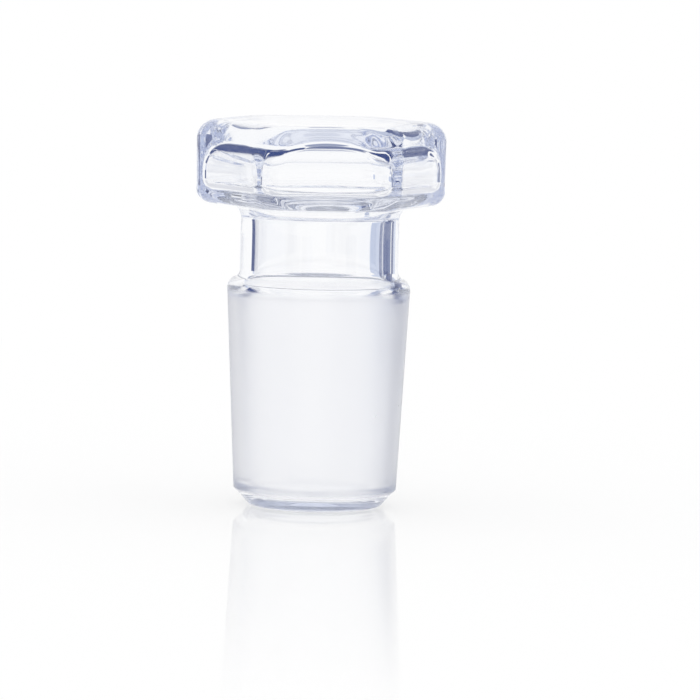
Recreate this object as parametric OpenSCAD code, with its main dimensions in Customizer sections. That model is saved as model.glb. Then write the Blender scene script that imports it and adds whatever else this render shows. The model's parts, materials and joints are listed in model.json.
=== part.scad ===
// Hollow glass stopper with a ground taper and a six-sided head.
// One blown and moulded piece of clear glass, closed all round, its taper ground matt.
// Millimetres, +Z up. The axis is Z and the stopper stands on its foot at z = 0.
// The head has a flat facing -Y and a corner on +X and on -X.

/* [Ground taper] */
// Diameter at the large end of the ground taper
taper_d = 29.2; // [27.5:0.1:34]
// Length of the ground taper along the axis
taper_h = 32; // [20:0.5:45]
// Length in which the diameter falls by one, 10 for a taper of 1 in 10
taper_ratio = 10; // [8:0.5:20]

/* [Foot] */
// Height of the foot below the ground taper
foot_h = 2.8; // [2.4:0.1:5]
// Width and height of the bevel ground at the small end of the taper
foot_bevel = 1; // [0.4:0.1:1.3]
// Diameter of the flat the stopper stands on
foot_flat_d = 19.6; // [14:0.2:21]
// Radius between the standing flat and the side of the foot
foot_edge_r = 1.6; // [0.8:0.1:2]

/* [Neck] */
// Outside diameter of the neck
neck_d = 25.25; // [22:0.05:26.5]
// Distance from the top of the ground taper to the underside of the head
neck_h = 13.45; // [9:0.05:24]
// Radius of the rounded shoulder over the taper
shoulder_r = 1.7; // [0.8:0.1:2.2]
// Radius of the hollow between the shoulder and the neck
shoulder_hollow_r = 1.4; // [0.8:0.1:2.2]
// Radius of the hollow between the neck and the underside of the head
flare_r = 2.5; // [1:0.1:3.5]

/* [Head] */
// Width of the head across its rounded corners
head_corners = 40.1; // [38:0.1:46]
// Radius of the six upright corners
head_corner_r = 5.4; // [3:0.1:8]
// Height of the head
head_h = 13.35; // [11:0.05:20]
// Radius round the top edge of the head
head_top_r = 2.9; // [1:0.1:3.5]
// Radius round the lower edge of the head
head_low_r = 2.3; // [1:0.1:2.8]

/* [Glass] */
// Thickness of the glass in the taper, the neck and the underside of the head
wall = 2.1; // [1.5:0.05:2.6]
// Thickness of the flat sides of the head
head_wall = 2.4; // [1.5:0.05:3]
// Thickness of the floor inside the foot
floor_t = 2.4; // [1.6:0.1:3.2]
// Thickness of the roof of the head at its middle
roof_t = 2.5; // [1.5:0.1:3.2]
// Radius inside, where the side of the hollow meets its floor
hollow_floor_r = 2.6; // [1:0.1:4]
// Radius inside, under the rounded shoulder
hollow_shoulder_r = 1.2; // [0.6:0.1:2]
// Radius inside, where the hollow of the neck opens into that of the head
hollow_flare_r = 3.2; // [1.5:0.1:4]
// Radius inside, round the floor of the hollow in the head
hollow_rim_r = 2; // [0.8:0.1:2.4]
// Radius inside the six upright corners of the head
hollow_corner_r = 3.2; // [2:0.1:6]
// Radius inside, where the flat sides of the head pass into its roof
hollow_side_r = 5; // [2:0.1:6.5]
// Radius inside, where the corners of the head pass into its roof
hollow_dome_r = 6.6; // [3:0.1:6.8]

/* [Hidden] */
$fn = 72;
// overlap that keeps joined shapes from only touching
lap = 0.5;
// how far a rounded edge runs past the face it meets, so that they cross cleanly
blend = 0.006;
// half angle of the taper and the radii at its two ends
slope = atan(1 / (2 * taper_ratio));
large_r = taper_d / 2;
small_r = large_r - taper_h / (2 * taper_ratio);
// heights of the faces along the axis
taper_top = foot_h + taper_h;
head_z = taper_top + neck_h;
total_h = head_z + head_h;
neck_r = neck_d / 2;
// outward direction square to the taper, in the (radius, height) plane
square_out = [cos(slope), -sin(slope)];
along_up = [sin(slope), cos(slope)];

// foot: the side runs straight from the ground bevel to the rounded edge it touches
bevel_in = [small_r - foot_bevel, foot_h - foot_bevel];
foot_c = [foot_flat_d / 2, foot_edge_r];
foot_touch = touch_below(bevel_in, foot_c, foot_edge_r - blend);

// shoulder: two arcs that touch each other, the taper and the neck
shoulder_c = [large_r, taper_top] - (shoulder_r - blend) * square_out;
hollow_c = side_centre(shoulder_c, shoulder_r + shoulder_hollow_r - blend,
                       neck_r + shoulder_hollow_r);

// head: distance from the axis to a flat side
flat_a = (head_corners / 2 - head_corner_r) * cos(30) + head_corner_r;

// hollow: the same lines, moved in by the thickness of the glass
bore_r = neck_r - wall;
floor_c = along_taper(floor_t + hollow_floor_r, wall + hollow_floor_r - blend);
inner_c = arc_meet([large_r, taper_top] - (wall + hollow_shoulder_r - blend) * square_out,
                   along_up, hollow_c, shoulder_hollow_r + wall + hollow_shoulder_r - blend);
hollow_a = flat_a - head_wall;
hollow_corner = (hollow_a - hollow_corner_r) / cos(30) + hollow_corner_r;
hollow_low = head_z + wall;
hollow_h = total_h - roof_t - hollow_low;
flare_c = [bore_r + hollow_flare_r, hollow_low - hollow_flare_r + blend];
// its roundings end where the floor is too narrow or the side too low for them
rim_r = min(hollow_rim_r, hollow_a - bore_r - hollow_flare_r - 0.1);
side_r = min(hollow_side_r, hollow_h - rim_r - 0.1);
dome_r = min(hollow_dome_r, hollow_h - rim_r - 0.1);

// point on the line parallel to the taper and moved in by d, at height z
function along_taper(z, d) = [large_r + (z - taper_top) * tan(slope) - d / cos(slope), z];

// centre at radius x, above c and at distance d from it
function side_centre(c, d, x) = [x, c[1] + sqrt(d * d - (x - c[0]) * (x - c[0]))];

// where the tangent from point p touches the lower right of a circle with centre c
function touch_below(p, c, r) =
    let (t = atan2(p[1] - c[1], p[0] - c[0]) - acos(r / norm(p - c)))
    c + r * [cos(t), sin(t)];

// lower point of the line from a along u that lies at distance d from c
function arc_meet(a, u, c, d) =
    let (k = (a - c) * u)
    a + u * (-k - sqrt(k * k - (a - c) * (a - c) + d * d));

// half section of the turned outside, from the foot to the underside of the head
module body_section() {
    difference() {
        union() {
            polygon([
                [0, 0],
                [foot_c[0], 0],
                foot_c,
                foot_touch,
                bevel_in,
                [small_r, foot_h],
                [large_r, taper_top],
                shoulder_c,
                hollow_c,
                [neck_r, hollow_c[1]],
                [neck_r, head_z - flare_r],
                [neck_r + flare_r, head_z - flare_r],
                [neck_r + flare_r, head_z + lap],
                [0, head_z + lap]
            ]);
            round_corner(foot_c, foot_edge_r);
            round_corner(shoulder_c, shoulder_r);
        }
        round_corner(hollow_c, shoulder_hollow_r);
        round_corner([neck_r + flare_r, head_z - flare_r], flare_r);
    }
}

// full round at a centre, for the rounded corners of a section
module round_corner(centre, r) {
    translate(centre)
        circle(r = r, $fn = 24);
}

// section across two opposite sides of a block of height h, with its four edges rounded:
// side is the distance from the axis, low_r and top_r the radii below and above
module bar_section(side, h, low_r, top_r) {
    low = low_r - blend;
    high = h + blend - top_r;
    translate([-side, low])
        square([2 * side, high - low]);
    translate([low_r - side, -blend])
        square([2 * (side - low_r), high + blend]);
    translate([top_r - side, low])
        square([2 * (side - top_r), h + blend - low]);
    for (x = [-1, 1]) {
        round_corner([x * (side - low_r), low], low_r);
        round_corner([x * (side - top_r), high], top_r);
    }
}

// half section that rounds the six corners of a block at r, below and above
module crown_section(r, h, low_r, top_r) {
    square([r - low_r, h - top_r]);
    translate([0, low_r])
        square([r, h - low_r - top_r]);
    translate([0, low_r])
        square([r - top_r, h - low_r]);
    round_corner([r - low_r, low_r], low_r);
    round_corner([r - top_r, h - top_r], top_r);
}

// six-sided block on the plane z = 0: three crossed bars give its flat sides and their
// rounded edges, the upright prism rounds its corners, and the turned crown rounds
// their two ends. side and corner are the distances from the axis to a flat side and
// to a corner, corner_r is the radius of a corner and crown_r that of its upper end
module rounded_block(side, corner, corner_r, h, low_r, top_r, crown_r) {
    intersection() {
        rotate_extrude()
            crown_section(corner + blend, h, low_r, crown_r);
        linear_extrude(height = h)
            rounded_hexagon(side + blend, corner - corner_r + 2 * blend, corner_r);
        for_bar(0, side, h, low_r, top_r);
        for_bar(1, side, h, low_r, top_r);
        for_bar(2, side, h, low_r, top_r);
    }
}

module for_bar(i, side, h, low_r, top_r) {
    rotate([0, 0, 60 * i])
        rotate([90, 0, 90])
            linear_extrude(height = 6 * side, center = true)
                bar_section(side, h, low_r, top_r);
}

// six-sided outline with a corner on +X: flat sides at a distance from the axis, and
// round corners of radius r whose centres lie at centre_r from the axis
module rounded_hexagon(side, centre_r, r) {
    polygon([for (i = [0 : 5], t = [-0.5, 0.5])
        let (q = 60 * i + 30)
        side * [cos(q), sin(q)] + t * centre_r * [-sin(q), cos(q)]]);
    for (i = [0 : 5])
        translate(centre_r * [cos(60 * i), sin(60 * i)])
            rotate(180 / $fn)
                circle(r = r);
}

// half section of the hollow in the taper and the neck
module shaft_hollow_section() {
    difference() {
        union() {
            polygon([
                [0, floor_t],
                [floor_c[0], floor_t],
                floor_c,
                along_taper(floor_c[1] - hollow_floor_r * sin(slope), wall),
                inner_c + (hollow_shoulder_r - blend) * square_out,
                inner_c,
                hollow_c,
                [bore_r, hollow_c[1]],
                [bore_r, flare_c[1]],
                [0, flare_c[1]]
            ]);
            round_corner(floor_c, hollow_floor_r);
            round_corner(inner_c, hollow_shoulder_r);
        }
        round_corner(hollow_c, shoulder_hollow_r + wall);
    }
}

// half section of the flare that opens the hollow of the neck into that of the head
module flare_section() {
    difference() {
        translate([0, flare_c[1] - lap])
            square([flare_c[0], hollow_flare_r + 2 * lap]);
        round_corner(flare_c, hollow_flare_r);
        translate([bore_r, flare_c[1] - 2 * lap])
            square([hollow_flare_r + lap, 2 * lap]);
    }
}

// the space sealed inside the glass
module hollow() {
    rotate_extrude()
        shaft_hollow_section();
    rotate_extrude()
        flare_section();
    translate([0, 0, hollow_low])
        rounded_block(hollow_a, hollow_corner, hollow_corner_r, hollow_h, rim_r, side_r, dome_r);
}

module stopper() {
    color([0.86, 0.90, 0.96, 0.45])
        difference() {
            union() {
                rotate_extrude()
                    body_section();
                translate([0, 0, head_z])
                    rounded_block(flat_a, head_corners / 2, head_corner_r,
                                  head_h, head_low_r, head_top_r, head_top_r);
            }
            hollow();
        }
}

stopper();
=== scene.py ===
"""Hollow glass stopper, clear in the head and neck and ground matt on its taper.

The glass is one closed skin outside and one round the sealed hollow inside. Each skin
is a stack of rings: ring k has a height and a polar radius for every angle about the
axis, so round and six-sided parts run into each other without a seam. The last number
given to a line or an arc, and to a spacing of heights, is how many rings it gets.
"""
import json
import math

import bpy
import numpy as np
from mathutils import Matrix, Vector


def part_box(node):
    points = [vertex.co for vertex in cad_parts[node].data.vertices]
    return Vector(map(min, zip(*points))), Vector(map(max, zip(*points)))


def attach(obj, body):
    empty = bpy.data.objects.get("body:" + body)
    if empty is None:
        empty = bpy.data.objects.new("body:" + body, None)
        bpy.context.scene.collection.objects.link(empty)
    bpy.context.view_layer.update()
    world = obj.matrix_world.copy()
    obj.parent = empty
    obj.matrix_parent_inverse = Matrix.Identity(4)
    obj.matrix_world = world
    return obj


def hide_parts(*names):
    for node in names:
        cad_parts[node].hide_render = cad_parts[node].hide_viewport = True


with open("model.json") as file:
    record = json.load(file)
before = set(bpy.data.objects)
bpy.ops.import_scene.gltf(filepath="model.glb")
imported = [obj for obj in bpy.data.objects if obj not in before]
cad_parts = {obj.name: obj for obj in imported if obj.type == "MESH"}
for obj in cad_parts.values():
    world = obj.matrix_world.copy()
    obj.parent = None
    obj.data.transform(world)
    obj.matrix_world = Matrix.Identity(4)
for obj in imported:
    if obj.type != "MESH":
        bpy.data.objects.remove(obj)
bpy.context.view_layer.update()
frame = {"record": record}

MM = 0.001
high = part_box("stopper")[1]
mounts = {m["name"]: m for m in frame["record"]["mounts"]}

# sizes of the glass, in millimetres
TOTAL_H = high.z / MM
FLAT = high.y / MM                 # axis to a flat side of the head
CORNER = high.x / MM               # axis to a corner of the head
LARGE_R = mounts["ground_taper"]["dims"]["r_mm"]
TAPER_H = mounts["ground_taper"]["dims"]["length_mm"]
TAPER_TOP = mounts["ground_taper"]["pos_m"][2] / MM
SLOPE = math.atan(0.05)            # half angle of the taper
SMALL_R = LARGE_R - TAPER_H * math.tan(SLOPE)
FOOT_H = TAPER_TOP - TAPER_H
FOOT_R = 9.8                       # flat that it stands on
FOOT_EDGE = 1.6
BEVEL = 1.0
NECK_R = 12.625
SHOULDER = 1.7
SHOULDER_HOLLOW = 1.4
FLARE = 2.5
HEAD_Z = 48.25                     # underside of the head
HEAD_LOW = 2.3                     # rounding of its lower edge
HEAD_TOP = 2.83                    # rounding of its top edge, along the flat sides
CROWN = 3.2                        # and at the corners
UPRIGHT = 5.4                      # rounding of the head's upright corners
DRAFT = 0.17                       # how much narrower the head is at its underside
WALL = 2.1
HEAD_WALL = 2.42
FLOOR_T = 2.4
ROOF_T = 2.5
HOLLOW_FLOOR = 2.6                 # rounding of the hollow's floor in the foot
HOLLOW_SHOULDER = 3.2
HOLLOW_FLARE = 3.2
GROUND = (0.0023, 0.0353)          # heights between which the outside is ground matt, m
NECK_WAIST = 0.18                  # how much narrower the hollow is halfway up the neck
HOLLOW_RIM = 2.0                   # rounding of the hollow's floor in the head
HOLLOW_UPRIGHT = 3.1               # rounding of its upright corners
HOLLOW_TURNED = 18.3               # axis to those corners
SIDE_DOME = (4.15, 5.8)            # rounding of the flat sides into the roof: across, up
CORNER_DOME = (7.45, 6.7)          # rounding of the corners into the roof
BLEND_LOW = 0.12                   # softness between sides and corners: lower edge,
BLEND_TOP = 0.48                   # upper edge
BLEND_HOLLOW = 0.7                 # and hollow of the head
WAIST_Z = 41.0                     # middle of the neck's narrower part
WAIST_REACH = 6.0                  # half its height
WAIST_FADE = 0.6                   # how soon it ends past that, as a share of it
UNEVEN = 0.04                      # how far the walls of the head's hollow wander
UNEVEN_SEED = 5
UNEVEN_R = (9.0, 14.0)             # radii between which that sets in
UNEVEN_RISE = 4.0                  # and the height in which it does, above the neck
POLE = 0.05                        # radius of the first and the last ring
INSET = 0.3                        # flat left out before the arc that follows it
BESIDE = 0.05                      # how close the rings beside a sharp edge lie to it
AROUND = 324                       # points in a ring

angle = np.linspace(0, 2 * np.pi, AROUND, endpoint=False)


def arc(centre, r, start, end, count):
    """Points (radius, height) on a circle: centre plus r times the cosine and the sine
    of an angle that runs from start to end, in degrees."""
    t = np.radians(np.linspace(start, end, count))
    return np.stack([centre[0] + r * np.cos(t), centre[1] + r * np.sin(t)], 1)


def line(a, b, count):
    """Points evenly spaced on the straight line from a to b."""
    t = np.linspace(0, 1, count)[:, None]
    return (1 - t) * np.array(a, float) + t * np.array(b, float)


def hexagon(flat, corner_r):
    """Polar radius of a hexagon with rounded corners, a corner on +X: flat over the
    cosine of the angle from a side's middle, and near a corner the far side of a circle
    of radius corner_r that touches both sides. flat and corner_r are columns."""
    flat, corner_r = np.asarray(flat, float), np.asarray(corner_r, float)
    turn = (angle + np.pi / 6) % (np.pi / 3) - np.pi / 6
    centre = (flat - corner_r) / np.cos(np.pi / 6)
    side = flat / np.cos(np.pi / 6 - np.abs(turn))
    reach = np.sqrt(np.maximum(corner_r ** 2 - (centre * np.sin(turn)) ** 2, 0))
    rounded = centre * np.cos(turn) + reach
    touch = np.arctan2(corner_r / 2, centre + corner_r * np.cos(np.pi / 6))
    return np.where(np.abs(turn) < touch, rounded, side)


def soft_min(a, b, width):
    """The smaller of a and b, with a parabola across the crossing so that it is smooth:
    h runs from 0 to 1 as b - a runs from -width to width."""
    h = np.clip(0.5 + 0.5 * (b - a) / width, 0, 1)
    return b * (1 - h) + a * h - width * h * (1 - h)


def smooth(t):
    """Rises from 0 to 1 as t does, level at both ends: three t squared less two t
    cubed."""
    t = np.clip(t, 0, 1)
    return t * t * (3 - 2 * t)


def ripple(a, b, seed, waves=6):
    """Unevenness of hand-worked glass between about -1 and 1: a sum of sines of
    m * a + n * b + phase, with whole numbers m so that it closes round an angle a."""
    rng = np.random.default_rng(seed)
    total = 0
    for _ in range(waves):
        m, n, phase = rng.integers(1, 9), rng.uniform(-0.4, 0.4), rng.uniform(0, 2 * np.pi)
        total = total + np.sin(m * a + n * b + phase)
    return total / np.sqrt(waves)


def turned(points):
    """Rings of a turned shape: the same radius at every angle."""
    points = np.asarray(points, float)
    return np.repeat(points[:, :1], AROUND, 1), np.repeat(points[:, 1:], AROUND, 1)


def stack(*parts):
    """Rings of several parts, one after another."""
    return np.vstack([p[0] for p in parts]), np.vstack([p[1] for p in parts])


def column(values):
    """One value for each ring."""
    return np.asarray(values, float)[:, None]


def crowded(start, end, count):
    """Heights from start to end that crowd towards the end, as the sine of evenly spaced
    angles from 0 to 90 degrees."""
    return start + (end - start) * np.sin(np.radians(np.linspace(0, 90, count)))


def spread(t, first, last, height):
    """Rings that pass from one outline to another as t goes from 0 to 1."""
    t = column(t)
    radius = (1 - t) * first + t * last
    return radius, np.broadcast_to(height, radius.shape)


def skin(parts):
    """Points of the rings: radius times the cosine and sine of the angle, and height."""
    radius, height = parts
    return np.stack([radius * np.cos(angle), radius * np.sin(angle), height], -1)


def closed(grid):
    """Faces of a closed skin: quads between neighbouring rings, the last column joined
    to the first, and a fan to one point at each end."""
    count, around = grid.shape[:2]
    index = np.arange(count * around).reshape(count, around)
    beside = np.roll(index, -1, 1)
    quads = np.stack([index[:-1], beside[:-1], beside[1:], index[1:]], -1).reshape(-1, 4)
    first, last = count * around, count * around + 1
    fans = np.vstack([
        np.stack([np.full(around, first), beside[0], index[0]], -1),
        np.stack([np.full(around, last), index[-1], beside[-1]], -1),
    ])
    points = np.vstack([grid.reshape(-1, 3), grid[0].mean(0), grid[-1].mean(0)])
    return points, quads, fans


def mesh_piece(name, skins):
    """One smooth mesh from closed skins given as (grid, faces_turned_round)."""
    points, quads, fans, start = [], [], [], 0
    for grid, flip in skins:
        p, q, f = closed(grid)
        points.append(p)
        quads.append((q[:, ::-1] if flip else q) + start)
        fans.append((f[:, ::-1] if flip else f) + start)
        start += len(p)
    points, quads, fans = np.vstack(points) * MM, np.vstack(quads), np.vstack(fans)
    mesh = bpy.data.meshes.new(name)
    mesh.vertices.add(len(points))
    mesh.vertices.foreach_set("co", points.ravel().astype(np.float32))
    mesh.loops.add(quads.size + fans.size)
    mesh.loops.foreach_set("vertex_index", np.concatenate([quads.ravel(), fans.ravel()]))
    mesh.polygons.add(len(quads) + len(fans))
    starts = np.concatenate([np.arange(len(quads)) * 4,
                             quads.size + np.arange(len(fans)) * 3])
    mesh.polygons.foreach_set("loop_start", starts)
    mesh.update(calc_edges=True)
    mesh.shade_smooth()
    piece = bpy.data.objects.new(name, mesh)
    bpy.context.scene.collection.objects.link(piece)
    return piece


def shoulder():
    """Centres of the shoulder's arc and of the hollow arc above it, and the direction
    in degrees from the first to the second."""
    square = np.array([math.cos(SLOPE), -math.sin(SLOPE)])
    first = np.array([LARGE_R, TAPER_TOP]) - SHOULDER * square
    across = NECK_R + SHOULDER_HOLLOW - first[0]
    second = first + [across, math.sqrt((SHOULDER + SHOULDER_HOLLOW) ** 2 - across ** 2)]
    return first, second, math.degrees(math.atan2(second[1] - first[1], across))


def drawn_in(z, roof, rounding):
    """How far a side has drawn in at height z where a quarter of an ellipse rounds it
    into the roof. rounding is the ellipse's half width and half height."""
    across, up = rounding
    q = np.clip((z - roof + up) / up, 0, 1)
    return column(across * (1 - np.sqrt(np.maximum(1 - q * q, 0))))


def draft(z):
    """How far the sides have leaned in at height z: by DRAFT in all, evenly, from the
    top edge down to the underside."""
    fall = (TOTAL_H - HEAD_TOP - z) / (TOTAL_H - HEAD_TOP - HEAD_Z)
    return column(DRAFT * np.clip(fall, 0, 1))


def rings(radius, z):
    """Level rings: one height for each row of polar radii."""
    return radius, np.broadcast_to(column(z), radius.shape)


def outside():
    """Rings of the outside, from the middle of the foot to the middle of the top."""
    edge = np.array([SMALL_R, FOOT_H])
    bevel_in = edge - BEVEL
    foot_c = np.array([FOOT_R, FOOT_EDGE])
    reach = bevel_in - foot_c
    touch = math.degrees(math.atan2(reach[1], reach[0])
                         - math.acos(FOOT_EDGE / np.hypot(*reach)))
    shoulder_c, hollow_c, meet = shoulder()
    body = turned(np.vstack([
        line((POLE, 0), (FOOT_R - INSET, 0), 5),
        arc(foot_c, FOOT_EDGE, -90, touch, 10),
        line(bevel_in, edge - BESIDE, 4),
        line(edge + (0, BESIDE), edge + (BESIDE / 5, 5 * BESIDE), 2),
        line(edge + (0, BESIDE), (LARGE_R, TAPER_TOP), 24)[1:],
        arc(shoulder_c, SHOULDER, -math.degrees(SLOPE), meet, 15)[1:],
        arc(hollow_c, SHOULDER_HOLLOW, 180 + meet, 180, 12)[1:],
        line((NECK_R, hollow_c[1]), (NECK_R, HEAD_Z - FLARE), 6)[1:],
        arc((NECK_R + FLARE, HEAD_Z - FLARE), FLARE, 180, 90, 15)[1:],
    ]))
    up = np.radians(np.linspace(-90, 0, 15))
    low_in, z = column(HEAD_LOW * (1 - np.cos(up))), HEAD_Z + HEAD_LOW * (1 + np.sin(up))
    in_by = low_in + draft(z)
    rim = soft_min(CORNER - in_by, hexagon(FLAT - in_by, UPRIGHT), BLEND_LOW)
    under = spread(np.linspace(0, 1, 6)[1:-1], body[0][-1], rim[0], HEAD_Z)
    low_edge = rings(rim, z)
    start = TOTAL_H - max(HEAD_TOP, CROWN)
    z = np.concatenate([np.linspace(HEAD_Z + HEAD_LOW, start, 10)[1:-1],
                        crowded(start, TOTAL_H, 28)])
    crown = soft_min(CORNER - draft(z) - drawn_in(z, TOTAL_H, (CROWN, CROWN)),
                     hexagon(FLAT - draft(z) - drawn_in(z, TOTAL_H, (HEAD_TOP, HEAD_TOP)),
                             UPRIGHT), BLEND_TOP)
    top = spread(np.linspace(0, 1, 8)[1:], crown[-1], np.full(AROUND, POLE), TOTAL_H)
    return stack(body, under, low_edge, rings(crown, z), top)


def inside():
    """Rings of the sealed hollow, from the middle of its floor to its ceiling."""
    square = np.array([math.cos(SLOPE), -math.sin(SLOPE)])
    along = np.array([math.sin(SLOPE), math.cos(SLOPE)])
    rise = FLOOR_T + HOLLOW_FLOOR
    floor_c = np.array([LARGE_R + (rise - TAPER_TOP) * math.tan(SLOPE)
                        - (WALL + HOLLOW_FLOOR) / math.cos(SLOPE), rise])
    hollow_c = shoulder()[1]
    start = np.array([LARGE_R, TAPER_TOP]) - (WALL + HOLLOW_SHOULDER) * square - hollow_c
    gap = SHOULDER_HOLLOW + WALL + HOLLOW_SHOULDER
    k = start @ along
    inner_c = hollow_c + start - along * (k + math.sqrt(k * k - start @ start + gap ** 2))
    meet = math.degrees(math.atan2(*(hollow_c - inner_c)[::-1]))
    tilt = math.degrees(SLOPE)
    bore, floor_z, roof_z = NECK_R - WALL, HEAD_Z + WALL, TOTAL_H - ROOF_T
    flare_c = (bore + HOLLOW_FLARE, floor_z - HOLLOW_FLARE)
    shaft = turned(np.vstack([
        line((POLE, FLOOR_T), (floor_c[0] - INSET, FLOOR_T), 4),
        arc(floor_c, HOLLOW_FLOOR, -90, -tilt, 11),
        line(floor_c + HOLLOW_FLOOR * square, inner_c + HOLLOW_SHOULDER * square, 10)[1:],
        arc(inner_c, HOLLOW_SHOULDER, -tilt, meet, 12)[1:],
        arc(hollow_c, SHOULDER_HOLLOW + WALL, 180 + meet, 180, 14)[1:],
        line((bore, hollow_c[1]), (bore, flare_c[1]), 18)[1:],
        arc(flare_c, HOLLOW_FLARE, 180, 90, 18)[1:],
    ]))
    # the neck's hollow is a little narrower halfway up: its radius grows with the square
    # of the distance from there, then evenly, and comes back to the plain line
    radius, z = shaft
    away = np.abs(z - WAIST_Z) / WAIST_REACH
    more = np.where(away < 1, away ** 2, 2 * away - 1) - 1
    shaft = radius + NECK_WAIST * more * (1 - smooth((away - 1) / WAIST_FADE)), z
    flat = FLAT - HEAD_WALL
    rim_r = min(HOLLOW_RIM, flat - bore - HOLLOW_FLARE - BESIDE)

    def outline(z, low_in):
        """Polar radii of the head's hollow, moved in by low_in near its floor."""
        in_by = low_in + draft(z)
        return soft_min(HOLLOW_TURNED - in_by - drawn_in(z, roof_z, CORNER_DOME),
                        hexagon(flat - in_by - drawn_in(z, roof_z, SIDE_DOME), HOLLOW_UPRIGHT),
                        BLEND_HOLLOW)

    up = np.radians(np.linspace(-90, 0, 14))
    z = floor_z + rim_r * (1 + np.sin(up))
    rim = outline(z, column(rim_r * (1 - np.cos(up))))
    floor = spread(np.linspace(0, 1, 6)[1:-1], shaft[0][-1], rim[0], floor_z)
    low_edge = rings(rim, z)
    start = max(roof_z - max(SIDE_DOME[1], CORNER_DOME[1]), floor_z + rim_r + BESIDE)
    z = np.concatenate([np.linspace(floor_z + rim_r, start, 4)[1:-1],
                        crowded(start, roof_z, 42)])
    dome = outline(z, 0)
    roof = spread(np.linspace(0, 1, 10)[1:], dome[-1], np.full(AROUND, POLE), roof_z)
    return stack(shaft, floor, low_edge, rings(dome, z), roof)


class Value:
    """A socket that takes part in sums: each operator adds a Math node."""

    def __init__(self, graph, socket):
        self.graph, self.socket = graph, socket

    def _math(self, operation, *values):
        return self.graph.add("ShaderNodeMath", {"operation": operation},
                              dict(enumerate(values)))

    def __add__(self, other):
        return self._math("ADD", self, other)

    def __mul__(self, other):
        return self._math("MULTIPLY", self, other)

    def __sub__(self, other):
        return self._math("SUBTRACT", self, other)

    def __rsub__(self, other):
        return self._math("SUBTRACT", other, self)

    def __truediv__(self, other):
        return self._math("DIVIDE", self, other)

    def __gt__(self, other):
        return self._math("GREATER_THAN", self, other)

    def root(self):
        return self._math("SQRT", self)

    def held(self):
        """Kept between 0 and 1."""
        return self._math("MINIMUM", self._math("MAXIMUM", 0.0, self), 1.0)

    __radd__, __rmul__ = __add__, __mul__


class Graph:
    """The nodes of one material or world."""

    def __init__(self, owner):
        owner.use_nodes = True
        self.tree = owner.node_tree
        self.tree.nodes.clear()

    def add(self, kind, settings=(), values=(), out=0):
        """A node: its settings first, then numbers or links for its sockets."""
        node = self.tree.nodes.new(kind)
        for key, setting in dict(settings).items():
            setattr(node, key, setting)
        for key, value in dict(values).items():
            if isinstance(value, Value):
                self.tree.links.new(value.socket, node.inputs[key])
            else:
                node.inputs[key].default_value = value
        return Value(self, node.outputs[out]) if len(node.outputs) else node

    def coordinate(self, source="Object"):
        """X, Y and Z of a Texture Coordinate output."""
        where = self.add("ShaderNodeTexCoord", out=source)
        return [self.add("ShaderNodeSeparateXYZ", values={0: where}, out=i) for i in range(3)]

    def surface(self, shader, kind="ShaderNodeOutputMaterial", **more):
        """The output node, with its surface and whatever else it takes."""
        self.add(kind, values={"Surface": shader, **more})


# finish of the glass
GROUND_SOFT = (0.0002, 0.0006)     # heights in which the grinding begins and ends, m
GROUND_INSIDE = 0.0115             # radius, at height 0, of a taper within the wall, m
MATT = 0.23                        # least roughness of the ground zone
GRAIN_SHARE = 0.08                 # what its grain adds
WORN_SHARE = 0.06                  # and what its patches add
CLEAR_TINT = (0.998, 0.999, 1.0, 1)
GROUND_TINT = (0.984, 0.985, 1.0, 1)
DEPTH_TINT = (0.25, 0.38, 0.72, 1)


def clear_glass():
    """Clear glass, with the ground zone matt: its roughness rises where the outside
    lies between the two ends of the grinding, softly at the upper end, and varies a
    little from place to place as the grinding left it. Its tint deepens with the way
    that light goes through it."""
    material = bpy.data.materials.new("clear_glass")
    g = Graph(material)
    where = {"Vector": g.add("ShaderNodeTexCoord", out="Object")}
    x, y, z = g.coordinate()
    radius = (x * x + y * y).root()
    low_end, high_end = GROUND
    low_soft, high_soft = GROUND_SOFT
    ground = (((high_end - z) / high_soft).held() * ((z - low_end) / low_soft).held()
              * (radius > z * math.tan(SLOPE) + GROUND_INSIDE))
    grain = g.add("ShaderNodeTexNoise", values={**where, "Scale": 700.0, "Detail": 3.0})
    worn = g.add("ShaderNodeTexNoise", values={**where, "Scale": 90.0, "Detail": 2.0})
    matt = grain * GRAIN_SHARE + worn * WORN_SHARE + MATT
    tint = g.add("ShaderNodeMix", {"data_type": "RGBA"}, {
        "Factor": ground, 6: CLEAR_TINT, 7: GROUND_TINT}, out=2)
    glass = g.add("ShaderNodeBsdfPrincipled", values={
        "Base Color": tint,
        "Roughness": ground * matt,
        "IOR": 1.474,
        "Transmission Weight": 1.0,
    })
    depth = g.add("ShaderNodeVolumeAbsorption", values={
        "Color": DEPTH_TINT, "Density": 7.0})
    g.surface(glass, Volume=depth)
    return material


def disc(name, r, z, count=96):
    """A flat round face at height z, with its corners at radius r about the axis."""
    t = np.linspace(0, 2 * np.pi, count, endpoint=False)
    points = [(r * math.cos(a), r * math.sin(a), z) for a in t]
    mesh = bpy.data.meshes.new(name)
    mesh.from_pydata(points, [], [tuple(range(count))])
    mesh.update()
    piece = bpy.data.objects.new(name, mesh)
    bpy.context.scene.collection.objects.link(piece)
    return piece


# floor
FLOOR_R = 0.28
FLOOR_Z = -0.00005                 # just under the foot, which would otherwise touch it
POLISH = 0.28                      # share of gloss in the middle
POLISH_R = (0.06, 0.24)            # radii between which it fades to none
GLOW = 0.95                        # share of the floor's own white
SHADED = 0.35                      # how much less of it the camera sees directly


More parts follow.
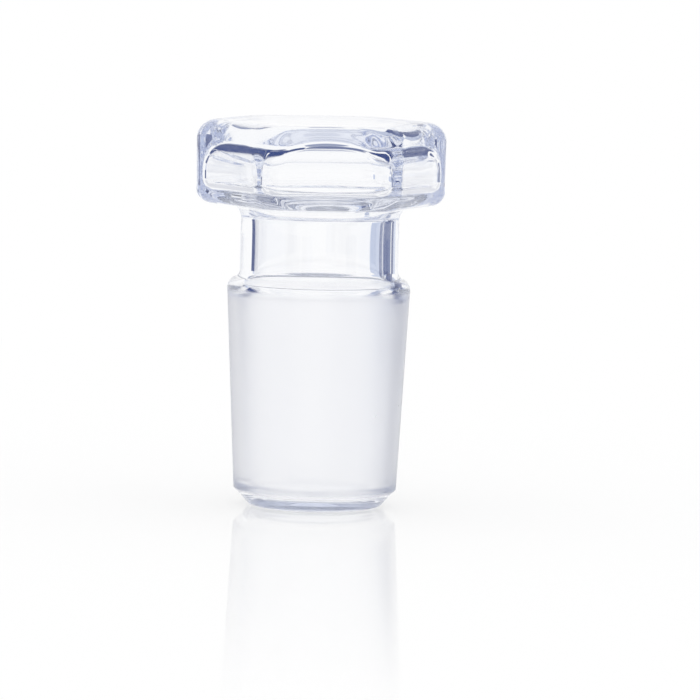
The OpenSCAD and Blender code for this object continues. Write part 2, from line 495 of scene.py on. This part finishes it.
def pale_floor():
    """White floor with a soft polish round the middle, which fades outwards. Part of its
    white is its own glow, most of it where glass or gloss shows the floor, and the rest
    takes the shadow."""
    material = bpy.data.materials.new("pale_floor")
    g = Graph(material)
    x, y, _ = g.coordinate()
    polish = g.add("ShaderNodeMapRange", {"interpolation_type": "SMOOTHSTEP"}, {
        "Value": (x * x + y * y).root(), "From Min": POLISH_R[0], "From Max": POLISH_R[1],
        "To Min": POLISH, "To Max": 0.0})
    direct = g.add("ShaderNodeLightPath", out="Is Camera Ray")
    white = g.add("ShaderNodeBsdfDiffuse", values={"Color": (1, 1, 1, 1)})
    glow = g.add("ShaderNodeEmission", values={"Color": (1, 1, 1, 1), "Strength": 1.0})
    matt = g.add("ShaderNodeMixShader", values={
        0: GLOW - direct * SHADED, 1: white, 2: glow})
    gloss = g.add("ShaderNodeBsdfAnisotropic", values={
        "Color": (1, 1, 1, 1), "Roughness": 0.04})
    g.surface(g.add("ShaderNodeMixShader", values={0: polish, 1: matt, 2: gloss}))
    return material


# the studio's dark cards, which paint shade into the glass: they act only on light that
# has passed through glass, so they put dark bands and a blue tint into what it shows.
# Turn from +Y towards +X, from and to, rise, from and to, in degrees, and tone, from 0
# for navy to 1 for pale blue. Where two overlap, both hold light back, so they meet with
# little overlap
CARDS = [
    ("overhead_left", -95, 0, 66, 90, 0.0),
    ("overhead_right", 0, 95, 70, 90, 0.15),
    ("high_left", -94, -34, 50, 66.6, 0.0),
    ("high_back", 0, 58, 59.4, 70.6, 0.15),
    ("high_right", 47, 73, 41, 60, 0.0),
    ("upper_left", -58, -26, 40, 50.6, 0.0),
    ("upper_right", 48, 74, 36, 42, 0.0),
    ("ahead", -2, 11, 34, 58, 0.35),
    ("left", -60, -36, 19, 40, 0.0),
    ("left_edge", -40, -27, 20, 42, 0.3),
    ("right", 28, 50, 20, 33, 0.0),
    ("right_low", 29, 50, 2, 21, 0.1),
    ("right_edge", 16, 29.5, 10, 32, 0.6),
    ("low_left", -60, -40, -10, 1, 0.0),
    ("low_lilac", 15, 26, -12, 4, 0.75),
    ("low_line", 25, 34, -12, 4, 0.08),
    ("low_right", 36, 62, -12, 4, 0.18),
    ("low_side", 60, 118, -9, 1, 0.8),
    ("side_left", -142, -100, -2, 13, 0.7),
    ("side_right", 90, 136, 0, 18, 0.75),
]
REACH = 1.5                        # distance of the cards
CARD_Z = 0.03                      # height of the point that they stand round
CARD_GRID = (25, 17)               # points along the turn and the rise
# colours of the painted shade that the cards put into the glass
CARD_DARK = np.array([0.0, 0.03, 0.19])
CARD_PALE = np.array([0.77, 0.84, 1.0])
CARD_EDGE = 2.5                    # how sharply a card ends
HIGH = 55                          # a card that ends above this has no opposite one
FAINT = 0.3                        # least tone of an opposite card


def card(name, turn_a, turn_b, rise_a, rise_b, tone):
    """A curved card: its points lie at one distance from the object, at evenly spaced
    turns and rises. It holds back light of the colours that it lacks, fades out at its
    edges as 1 less the sixth powers of the way across and up, and acts only on light
    that has passed through glass. So it paints navy or pale blue shade into what the
    glass shows, and into nothing else."""
    turns = np.radians(np.linspace(turn_a, turn_b, CARD_GRID[0]))
    rises = np.radians(np.linspace(rise_a, rise_b, CARD_GRID[1]))
    t, r = np.meshgrid(turns, rises)
    points = REACH * np.stack([np.cos(r) * np.sin(t), np.cos(r) * np.cos(t), np.sin(r)], -1)
    index = np.arange(t.size).reshape(t.shape)
    quads = np.stack([index[:-1, :-1], index[:-1, 1:], index[1:, 1:], index[1:, :-1]], -1)
    mesh = bpy.data.meshes.new(name)
    mesh.from_pydata((points.reshape(-1, 3) + [0, 0, CARD_Z]).tolist(), [],
                     quads.reshape(-1, 4).tolist())
    share = np.stack(np.meshgrid(*(np.linspace(0, 1, n) for n in CARD_GRID)), -1)
    corners = np.empty(len(mesh.loops), int)
    mesh.loops.foreach_get("vertex_index", corners)
    mesh.uv_layers.new(name="share").data.foreach_set(
        "uv", share.reshape(-1, 2)[corners].ravel())
    mesh.update()
    piece = bpy.data.objects.new(name, mesh)
    bpy.context.scene.collection.objects.link(piece)
    piece.visible_camera = piece.visible_diffuse = piece.visible_shadow = False

    material = bpy.data.materials.new(name)
    g = Graph(material)
    u, v, _ = g.coordinate("UV")
    across, up = u * 2.0 - 1.0, v * 2.0 - 1.0
    across, up = across * across, up * up
    fade = ((1.0 - across * across * across - up * up * up) * CARD_EDGE).held()
    colour = (1 - tone) * CARD_DARK + tone * CARD_PALE
    fade = fade * (g.add("ShaderNodeLightPath", out="Transmission Depth") > 0.5)
    # painted shade: the card's colour darkens and tints only light that comes through the
    # glass
    painted_shade = g.add("ShaderNodeBsdfTransparent", values={"Color": (*colour, 1)})
    clear = g.add("ShaderNodeBsdfTransparent")
    g.surface(g.add("ShaderNodeMixShader", values={0: fade, 1: clear, 2: painted_shade}))
    mesh.materials.append(material)


def worked(grid, depth, seed):
    """The skin with the head's unevenness: points move along their radius by depth
    times a ripple of angle and height, which fades out below the head and near the
    axis."""
    x, y, z = grid[..., 0], grid[..., 1], grid[..., 2]
    radius = np.hypot(x, y)
    begin, end = UNEVEN_R
    share = smooth((z - HEAD_Z) / UNEVEN_RISE) * smooth((radius - begin) / (end - begin))
    push = depth * share * ripple(angle[None, :], z, seed) / np.maximum(radius, 1)
    return np.stack([x * (1 - push), y * (1 - push), z], -1)


stopper = mesh_piece("stopper_glass", [(skin(outside()), False),
                                       (worked(skin(inside()), UNEVEN, UNEVEN_SEED), True)])
stopper.data.materials.append(clear_glass())
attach(stopper, "root")
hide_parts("stopper")

floor = disc("floor", FLOOR_R, FLOOR_Z)
floor.data.materials.append(pale_floor())

for name, turn_a, turn_b, rise_a, rise_b, tone in CARDS:
    card(name, turn_a, turn_b, rise_a, rise_b, tone)
    if rise_b < HIGH:
        card(name + "_opposite", turn_a + 180, turn_b + 180, rise_a, rise_b,
             max(tone, FAINT))

world = bpy.data.worlds.new("studio")
bpy.context.scene.world = world
g = Graph(world)
g.surface(g.add("ShaderNodeBackground", values={"Color": (1, 1, 1, 1), "Strength": 1.0}),
          "ShaderNodeOutputWorld")

# camera
DISTANCE = 1.0
AIM_Z = 0.031                      # height on the axis that it points at
LIFT = math.radians(5.0)
TURN = math.radians(-4.0)
ROLL = math.radians(1.19)
FRAME_W = 0.1118                   # width of the view at the axis
SHIFT = (0.0454, -0.0542)
SENSOR = 36
BOUNCES = 64                       # light goes back and forth many times in the walls

back = Vector((math.sin(TURN) * math.cos(LIFT),
               -math.cos(TURN) * math.cos(LIFT), math.sin(LIFT)))
camera = bpy.data.objects.new("camera", bpy.data.cameras.new("camera"))
bpy.context.scene.collection.objects.link(camera)
bpy.context.scene.camera = camera
facing = (-back).to_track_quat("-Z", "Y").to_matrix().to_4x4()
place = Matrix.Translation(Vector((0, 0, AIM_Z)) + back * DISTANCE)
camera.matrix_world = place @ (facing @ Matrix.Rotation(ROLL, 4, "Z"))
camera.data.sensor_width = SENSOR
camera.data.lens = SENSOR * DISTANCE / FRAME_W
camera.data.shift_x, camera.data.shift_y = SHIFT

bpy.context.scene.view_settings.view_transform = "Standard"
light_paths = bpy.context.scene.cycles
light_paths.max_bounces = light_paths.transmission_bounces = BOUNCES
light_paths.glossy_bounces = BOUNCES
light_paths.diffuse_bounces = 8
